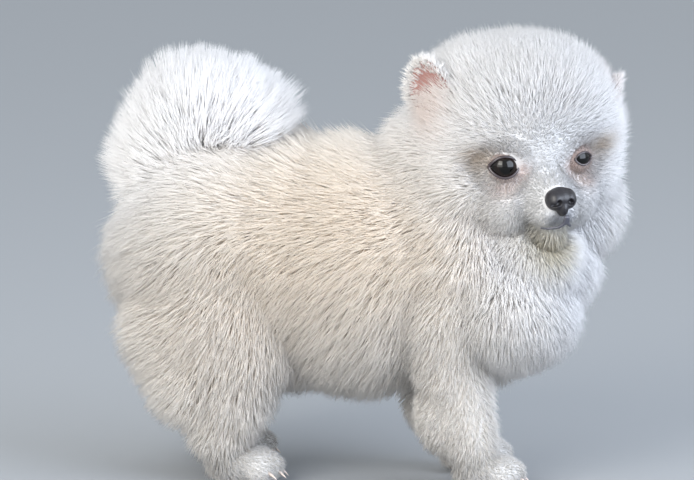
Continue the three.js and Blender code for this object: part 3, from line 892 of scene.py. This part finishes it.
class PUPPY_OT_eyes(bpy.types.Operator):
    """Model the eyeballs and the dark rims of the lids"""

    bl_idname = "puppy.eyes"
    bl_label = "Eyes"

    def execute(self, context):
        eye_material = wet_eye()
        rim_material = bare_skin("dark_eyelid", "2A2224", "3C3133", 0.3, 2500, 0.0001, 0.5)
        clear_selection()
        for sign, side in SIDES:
            # The gaze, a little outwards of where the head looks.
            gaze = Vector((1, sign * 0.2, 0.04)).normalized()
            turn = (HEAD_TURN @ gaze.to_track_quat("Z", "Y").to_matrix()).to_euler()
            centre = on_head(EYE_AT[sign])
            eye = add_spheroid(centre, [EYE_RADIUS * MM * 0.985] * 3, turn, 48, 28)
            eye = join_pieces([eye], f"eyeball_{side}")
            axis = HEAD_TURN @ gaze
            off = []
            for vertex in eye.data.vertices:
                away = vertex.co - centre
                angle = away.angle(axis)
                off.append(angle / math.pi * 2)
                # The cornea bulges a little from the ball.
                vertex.co += away.normalized() * 0.0005 * max(0, math.cos(min(angle * 1.9, math.pi / 2)))
            layer = eye.data.attributes.new("off_axis", "FLOAT", "POINT")
            layer.data.foreach_set("value", off)
            shade_smooth(eye)
            dress(eye, eye_material, "eye", f"eye_{side}")
            self.lids(side, sign, rim_material)
        return {"FINISHED"}

    def edge(self, sign, angle):
        """A point on the edge of the lids: round, with pointed corners, of which the outer is longer."""
        wide, tall = EYE_OPENING[sign]
        corner = abs(math.cos(angle)) ** 6
        x = math.cos(angle) * (wide + (0.9 if math.cos(angle) * sign > 0 else 0.4) * corner)
        return x, math.sin(angle) * tall * (0.94 if math.sin(angle) > 0 else 1.04) * (1 - 0.12 * corner)

    def ring(self, segments):
        """A ring of radius 1, which the rim and the lids are bent from."""
        bpy.ops.mesh.primitive_torus_add(major_segments=64, minor_segments=segments, major_radius=1,
                                         minor_radius=RING_HALF)
        return bpy.context.object

    def lids(self, side, sign, material):
        """The dark rim of the lids, a ring laid on the eyeball, and round it the lids themselves."""
        outward, across, above = eye_frame(sign)
        centre = on_head(EYE_AT[sign])

        def on_ball(x, y, lift):
            depth = math.sqrt(max(EYE_RADIUS ** 2 * 1.02 - x * x - y * y, 0.5))
            return on_head(EYE_AT[sign] + (outward * depth + across * x + above * y).normalized() * lift)

        rim = self.ring(10)
        for vertex in rim.data.vertices:
            x, y = self.edge(sign, math.atan2(vertex.co.y, vertex.co.x))
            radial = (math.hypot(vertex.co.x, vertex.co.y) - 1) / RING_HALF
            stretch = 1 + radial * RIM_HALF / math.hypot(x, y)
            vertex.co = on_ball(x * stretch, y * stretch, EYE_RADIUS + 0.25 + vertex.co.z * 5.5)
        rim = join_pieces([rim], f"lid_rim_{side}")
        shade_smooth(rim)
        dress(rim, material, "eye")

        lids = self.ring(12)
        for vertex in lids.data.vertices:
            angle = math.atan2(vertex.co.y, vertex.co.x)
            inner = on_ball(*self.edge(sign, angle), 1) - centre
            outer = HEAD_TURN @ (outward * 0.05 + across * math.cos(angle) + above * math.sin(angle)) * MM
            share = (math.hypot(vertex.co.x, vertex.co.y) - (1 - RING_HALF)) / (2 * RING_HALF)
            direction = inner.lerp(outer, share).normalized()
            vertex.co = centre + direction * (EYE_RADIUS + 0.15 + vertex.co.z * 3.5) * MM
        lids = join_pieces([lids], f"lids_{side}")
        shade_smooth(lids)
        unwrap(lids)
        # The lids' skin is a dark brownish grey: painted shade round the eye.
        write_colours(lids.data, np.tile(linear("85756F"), (len(lids.data.vertices), 1)))
        dress(lids, bpy.data.materials["plush_underfur"], "face_coat")


class PUPPY_OT_nose(bpy.types.Operator):
    """Model the nose leather with its nostrils and the groove below"""

    bl_idname = "puppy.nose"
    bl_label = "Nose"

    def execute(self, context):
        clear_selection()
        turn = HEAD_TURN.to_euler()

        def at(x, y, z):
            return on_head(NOSE_AT + Vector((x, y, z)))

        def mm(*radii):
            return [r * MM for r in radii]

        pad = [add_spheroid(at(0, 0, 0.7), mm(5.8, 6.0, 4.8), turn),
               add_spheroid(at(0.6, 3.0, 0.2), mm(5.4, 3.9, 4.6), turn),
               add_spheroid(at(0.6, -3.0, 0.2), mm(5.4, 3.9, 4.6), turn),
               add_spheroid(at(1.6, 0, -3.0), mm(4.2, 2.6, 4.2), turn)]
        nose = join_pieces(pad, "nose_leather")
        apply_modifier(nose, "REMESH", mode="VOXEL", voxel_size=0.00045)
        cuts = []
        for sign in (-1, 1):
            cuts.append(add_spheroid(at(6.2, sign * 2.7, -0.6), mm(2.6, 1.35, 1.5), turn))
            cuts.append(add_spheroid(at(5.3, sign * 4.6, -1.5), mm(2.4, 1.8, 0.62), turn))
        cuts.append(add_spheroid(at(6.6, 0, -3.6), mm(1.3, 0.32, 4.2), turn))
        cutter = join_pieces(cuts, "nostrils")
        apply_modifier(cutter, "REMESH", mode="VOXEL", voxel_size=0.00018)
        apply_modifier(nose, "BOOLEAN", operation="DIFFERENCE", object=cutter, solver="EXACT")
        bpy.data.objects.remove(cutter)
        apply_modifier(nose, "REMESH", mode="VOXEL", voxel_size=0.0003)
        apply_modifier(nose, "SMOOTH", factor=0.5, iterations=3)
        shade_smooth(nose)
        dress(nose, bare_skin("moist_nose_leather", "0A090B", "1D1A20", 0.42, 1900, 0.00012, 0.12),
              "nose_leather", "nose")
        return {"FINISHED"}


class PUPPY_OT_mouth(bpy.types.Operator):
    """Model the line of the lips below the nose"""

    bl_idname = "puppy.mouth"
    bl_label = "Mouth"

    def execute(self, context):
        clear_selection()
        # From the groove under the nose, each lip runs down, out and back along the muzzle.
        path = [(47.4, 0.4, -27.2), (46.2, 0.6, -29.8), (44.6, 2.6, -31.6), (41.6, 6.4, -32.3),
                (38.2, 8.8, -32.2)]
        pieces = []
        for sign, reach in ((-1, 4), (1, 2)):
            for i in range(reach):
                a, b = Vector(path[i]), Vector(path[i + 1])
                for j in range(6):
                    spot = a.lerp(b, j / 6)
                    spot.y *= sign
                    radius = (1.05 - 0.16 * (i + j / 6)) * MM
                    pieces.append(add_spheroid(on_head(spot), [radius] * 3, (0, 0, 0), 10, 6))
        lips = join_pieces(pieces, "lips")
        apply_modifier(lips, "REMESH", mode="VOXEL", voxel_size=0.00032)
        apply_modifier(lips, "SMOOTH", factor=0.5, iterations=4)
        shade_smooth(lips)
        dress(lips, bare_skin("slate_lip_skin", "33333B", "494952", 0.4, 2300, 0.0001, 0.2), "nose_leather")
        return {"FINISHED"}


class PUPPY_OT_ears(bpy.types.Operator):
    """Model the ears as cupped leaves with a pink lining, darkened by painted shade inside the cup"""

    bl_idname = "puppy.ears"
    bl_label = "Ears"

    def execute(self, context):
        clear_selection()
        # The lining is pink, darkened by painted shade for the shadow inside the cup.
        lining = bare_skin("pink_ear_lining_painted_shade", "9C746C", "8A645E", 0.6, 1400, 0.0001)
        for sign, side in SIDES:
            centre = on_head(EAR_AT[sign])
            turn = ear_turn(sign)
            ear = join_pieces([add_spheroid(centre, [MM] * 3, (0, 0, 0), 48, 32)], f"ear_{side}_leaf")
            for vertex in ear.data.vertices:
                vertex.co = placed(from_head(EAR_AT[sign]) + turn @ self.on_leaf((vertex.co - centre) / MM))
            shade_smooth(ear)
            unwrap(ear)
            dress(ear, lining, "ear", f"ear_{side}")
        return {"FINISHED"}

    def on_leaf(self, point):
        """A ball's point, on a leaf with a narrowed and rounded top, a round back and a cupped front."""
        x, y, z = point
        wide, tall = EAR_HALF
        narrow = 1 - 0.2 * max(z, 0)
        cup = 1 - min(y * y + z * z, 1)
        depth = 4.2 * x if x < 0 else 4.2 * x - 5.6 * cup ** 0.8
        return Vector((depth - 0.6, y * wide * narrow, z * tall))


class PUPPY_OT_claws(bpy.types.Operator):
    """Model a claw on each toe"""

    bl_idname = "puppy.claws"
    bl_label = "Claws"

    def execute(self, context):
        clear_selection()
        claws = []
        toes = [mass for mass in FLESH if mass["region"] == "paw" and mass["radii"][1] == TOE_HALF_WIDTH]
        for toe in toes:
            x, y, z = toe["at"]
            claw = add_spheroid((0, 0, 0), (1, 1, 1), (0, 0, 0), 12, 10)
            for vertex in claw.data.vertices:
                along = (vertex.co.x + 1) / 2
                thick = 1.0 - 0.62 * along
                vertex.co = placed((x + 4.0 + 5.0 * along, y + vertex.co.y * thick,
                                    z + 0.2 + vertex.co.z * 1.15 * thick - 3.4 * along ** 1.7))
            claws.append(claw)
        made = join_pieces(claws, "claws")
        shade_smooth(made)
        dress(made, claw_horn(), "paw")
        return {"FINISHED"}


class PUPPY_OT_coat(bpy.types.Operator):
    """Grow the coat in fine tufts over the skin"""

    bl_idname = "puppy.coat"
    bl_label = "Coat"

    def execute(self, context):
        settings = context.scene.puppy
        rng = np.random.default_rng(settings.seed)
        roots, normals, uv = sample_skin(piece_named("skin"), rng)
        kept = off_the_face(roots)
        roots, normals, uv = roots[kept], normals[kept], uv[kept]
        shares, depths = blends(roots)
        region = shares.argmax(1)
        width = grown(shares, WIDTH) * settings.width
        flow = lies(roots, normals, shares)
        # Where the lie points out of the body, as on the rump, the plume's top and the crown, tufts stand up.
        upright = (unit(flow) * normals).sum(1, keepdims=True)
        stand = np.maximum(grown(shares, STAND), np.degrees(np.arcsin(upright.clip(-1, 1))) * (0.95, 0.85))
        over_underfur = depths * (1 - grown(shares, UNDERFUR))
        length = over_underfur / np.sin(np.radians(stand.mean(1))) * settings.length
        # Short tufts fill the coat between the long ones, which hang in locks of their own lengths.
        short = rng.random(len(roots)) < SHORT_SHARE
        long = np.flatnonzero(~short)
        nearest = np.arange(len(roots))
        nearest[long] = long[locks_of(roots[long], LOCK_SIZE, rng)]
        ragged = 0.3 * grown(shares, CLING)
        of_lock = 1 + ragged * rng.uniform(-1, 0.75, len(roots))[nearest]
        of_short = rng.uniform(0.6, 0.92, len(roots))
        length *= np.where(short, of_short, of_lock * rng.uniform(0.9, 1.03, len(roots)))
        # The flanks' tips cling less than the rump's.
        cling = grown(shares, CLING) * settings.cling * 2
        cling *= np.where(in_regions(region, ("torso", "hindleg")),
                          0.15 + 0.85 * smooth(-roots[:, 0], 45, 85), 1)
        stand = stand + rng.normal(0, 5, (len(roots), 1))
        # A few single hairs stray out of the coat and soften its outline.
        stray = rng.random(len(roots)) < STRAY_SHARE
        stand[stray] += 9
        length[stray] *= 1.06
        width = np.where(stray, width * 0.6, width)
        material = puppy_hair()
        colours = coat_colours(roots, settings) * rng.uniform(0.98, 1.0, (len(roots), 1))
        for name, names in PIECES.items():
            here = in_regions(region, names)
            for prefix, of_layer, knots in (("coat", ~short, 3), ("under", short, 2)):
                mine = np.flatnonzero(here & of_layer)
                # The locks' middles are grown too, as some stand in another piece.
                both = np.union1d(mine, nearest[mine])
                lines, side = grow_lines(roots[both], normals[both], flow[both], length[both], stand[both],
                                         rng, knots)
                if knots > 2:
                    middles = np.searchsorted(both, nearest[both]).clip(0, len(both) - 1)
                    lines = draw_together(lines, middles, length[both], cling[both], rng)
                own = np.searchsorted(both, mine)
                lines, side = lines[own], side[own]
                lines[:, 1:, 2] = np.maximum(lines[:, 1:, 2], 0.8)
                parts = math.ceil(len(mine) * triangles_in(knots) / MOST_TRIANGLES)
                for part in range(parts):
                    dealt = slice(part, None, parts)
                    chosen = mine[dealt]
                    piece = tuft_mesh(f"{prefix}_{name}_{part + 1}", lines[dealt], side[dealt],
                                      width[chosen], uv[chosen], colours[chosen])
                    dress(piece, material, "long_coat")
        return {"FINISHED"}


class PUPPY_OT_fine_fur(bpy.types.Operator):
    """Grow short fur over the lids and over the backs and rims of the ears"""

    bl_idname = "puppy.fine_fur"
    bl_label = "Fine fur"

    def execute(self, context):
        settings = context.scene.puppy
        rng = np.random.default_rng(settings.seed + 1)
        for sign, side in SIDES:
            self.on_ear(settings, sign, side, rng)
            self.on_lids(settings, sign, side, rng)
        return {"FINISHED"}

    def on_ear(self, settings, sign, side, rng):
        roots, facing, at = scatter(piece_named(f"ear_{side}_leaf"), 2700, rng)
        turn = np.array(ear_turn(sign))
        local = (roots - from_head(EAR_AT[sign])) @ turn
        # Inside the cup only the rim carries fur.
        rim = np.hypot(local[:, 1] / EAR_HALF[0], local[:, 2] / EAR_HALF[1])
        inside = (facing @ turn)[:, 0] > 0.2
        keep = ~inside | (rim > 0.5) | (local[:, 2] < -2)
        roots, facing, at, rim, local = roots[keep], facing[keep], at[keep], rim[keep], local[keep]
        outward = local * (0, 1.2, 1) + (0, 0, 4)
        length = np.where(rim > 0.7, 6.0, 5.0) * rng.uniform(0.6, 1.15, len(roots))
        stand = (34.0, 12.0) + rng.normal(0, 6, (len(roots), 1))
        lines, across = grow_lines(roots, facing, outward @ turn.T, length, stand, rng, 3)
        colours = coat_colours(roots, settings) * rng.uniform(0.93, 1.0, (len(roots), 1))
        piece = tuft_mesh(f"ear_fur_{side}", lines, across, 0.42, at, colours)
        dress(piece, bpy.data.materials["soft_white_hair"], "ear")

    def on_lids(self, settings, sign, side, rng):
        roots, facing, at = scatter(piece_named(f"lids_{side}"), 2200, rng)
        off_eye = roots - from_head(EYE_AT[sign])
        keep = (facing * off_eye).sum(1) > 2
        roots, facing, at, off_eye = roots[keep], facing[keep], at[keep], off_eye[keep]
        length = rng.uniform(1.4, 2.8, len(roots))
        stand = (34.0, 14.0) + rng.normal(0, 5, (len(roots), 1))
        outward = np.array(HEAD_TURN @ eye_frame(sign)[0])
        lie = off_eye - (off_eye @ outward)[:, None] * outward
        lines, across = grow_lines(roots + facing * 0.5, facing, lie, length, stand, rng, 3)
        # Painted shade round the eye: the hair darkens from the coat's colour to the rim of the lids.
        near = 1 - smooth(lengths(lie), 4.5, 7.2)
        colours = toward(coat_colours(roots, settings), linear("A89086"), 0.5 * near)
        piece = tuft_mesh(f"lid_fur_{side}", lines, across, 0.26, at, colours)
        dress(piece, bpy.data.materials["soft_white_hair"], "face_coat")


class PUPPY_OT_whiskers(bpy.types.Operator):
    """Model a few long fine whiskers on the muzzle"""

    bl_idname = "puppy.whiskers"
    bl_label = "Whiskers"

    def execute(self, context):
        rng = np.random.default_rng(context.scene.puppy.seed + 2)
        roots, lie, length = [], [], []
        for sign in (-1, 1):
            for i in range(9):
                row, place = divmod(i, 3)
                roots.append(from_head((36 - place * 3.0, sign * (8 + place * 1.2), -23 - row * 2.4)))
                lie.append((HEAD_TURN @ Vector((0.35 - 0.2 * place, sign, -0.25 + 0.12 * row))).normalized())
                length.append(rng.uniform(8, 13))
        roots, lie, length = np.array(roots), np.array(lie), np.array(length)
        count = len(roots)
        droop = np.tile((0, 0, -1.0), (count, 1))
        stand = np.tile((88.0, 60.0), (count, 1))
        lines, side = grow_lines(roots, lie, droop, length, stand, rng, 4)
        uv = rng.random((count, 2)) * 0.8 + 0.1
        piece = tuft_mesh("whiskers", lines, side, 0.13, uv, np.tile(linear("F4F2F0"), (count, 1)))
        dress(piece, bpy.data.materials["soft_white_hair"], "face_coat")
        return {"FINISHED"}


class PUPPY_OT_stage(bpy.types.Operator):
    """Set the floor, the lights and the camera"""

    bl_idname = "puppy.stage"
    bl_label = "Stage"

    def execute(self, context):
        scene = context.scene
        clear_selection()
        bpy.ops.mesh.primitive_plane_add(size=8, location=(0, 0, 0))
        floor = bpy.context.object
        floor.name = "floor"
        made, tree = new_material("matt_paper_sweep")
        paper = add_node(tree, "ShaderNodeBsdfPrincipled", Base_Color=opaque("8C8F92"), Roughness=0.9)
        add_node(tree, "ShaderNodeOutputMaterial", [("Surface", paper.outputs["BSDF"])])
        floor.data.materials.append(made)
        world = bpy.data.worlds.new("soft_room")
        world.use_nodes = True
        sky = world.node_tree.nodes["Background"]
        sky.inputs["Color"].default_value = opaque("DDE3EA")
        sky.inputs["Strength"].default_value = 1.38
        scene.world = world
        self.softbox("key", (-0.5, -1.2, 0.8), 0.8, 17, "FFFBF5")
        self.softbox("fill", (1.3, -0.6, 0.5), 1.4, 42, "E4EEFF")
        self.softbox("low", (-0.6, -1.3, 0.25), 1.2, 14, "FFFDF8")
        self.camera(scene)
        scene.view_settings.view_transform = "Standard"
        # White hair is bright because light passes through many strands.
        scene.cycles.max_bounces = 20
        scene.cycles.diffuse_bounces = 16
        return {"FINISHED"}

    def softbox(self, name, at, size, power, code):
        bpy.ops.object.light_add(type="AREA", location=at)
        light = bpy.context.object
        light.name = name
        light.data.size = size
        light.data.energy = power
        light.data.color = linear(code)
        light.rotation_euler = (Vector((0, 0, 0.1)) - Vector(at)).to_track_quat("-Z", "Y").to_euler()

    def camera(self, scene):
        """Sees the puppy's right side from a little ahead of it and above, as the photograph does."""
        around, above, distance = math.radians(10), math.radians(10), 2.8
        level = math.cos(above)
        back = Vector((math.sin(around) * level, -math.cos(around) * level, math.sin(above)))
        right = Vector((math.cos(around), math.sin(around), 0))
        up = back.cross(right)
        aim = right * 3.1 + up * 103.5
        bpy.ops.object.camera_add(location=placed(aim) + back * distance,
                                  rotation=back.to_track_quat("Z", "Y").to_euler())
        camera = bpy.context.object
        camera.name = "view"
        # The photograph is 694 pixels wide, and each covers 0.44 mm at the puppy.
        seen = 694 * 0.44 * MM
        camera.data.sensor_width = 36
        camera.data.lens = 36 * distance / seen
        camera.data.clip_start = 0.05
        scene.camera = camera


OPERATORS = (PUPPY_OT_stage, PUPPY_OT_skin, PUPPY_OT_eyes, PUPPY_OT_nose, PUPPY_OT_mouth, PUPPY_OT_ears,
             PUPPY_OT_claws, PUPPY_OT_coat, PUPPY_OT_fine_fur, PUPPY_OT_whiskers)


class PUPPY_PT_panel(bpy.types.Panel):
    """The puppy's pieces and settings"""

    bl_idname = "PUPPY_PT_panel"
    bl_label = "Puppy"
    bl_space_type = "VIEW_3D"
    bl_region_type = "UI"
    bl_category = "Puppy"

    def draw(self, context):
        settings = context.scene.puppy
        for name in ("coat_white", "coat_cool", "tint", "length", "width", "cling", "skin_grid", "seed"):
            self.layout.prop(settings, name)
        for operator in OPERATORS:
            self.layout.operator(operator.bl_idname)


CLASSES = (PuppySettings, *OPERATORS, PUPPY_PT_panel)


def register():
    for made in CLASSES:
        bpy.utils.register_class(made)
    bpy.types.Scene.puppy = bpy.props.PointerProperty(type=PuppySettings)


def unregister():
    del bpy.types.Scene.puppy
    for made in reversed(CLASSES):
        bpy.utils.unregister_class(made)


def main():
    register()
    for operator in OPERATORS:
        group, name = operator.bl_idname.split(".")
        getattr(getattr(bpy.ops, group), name)()


if __name__ == "__main__":
    main()
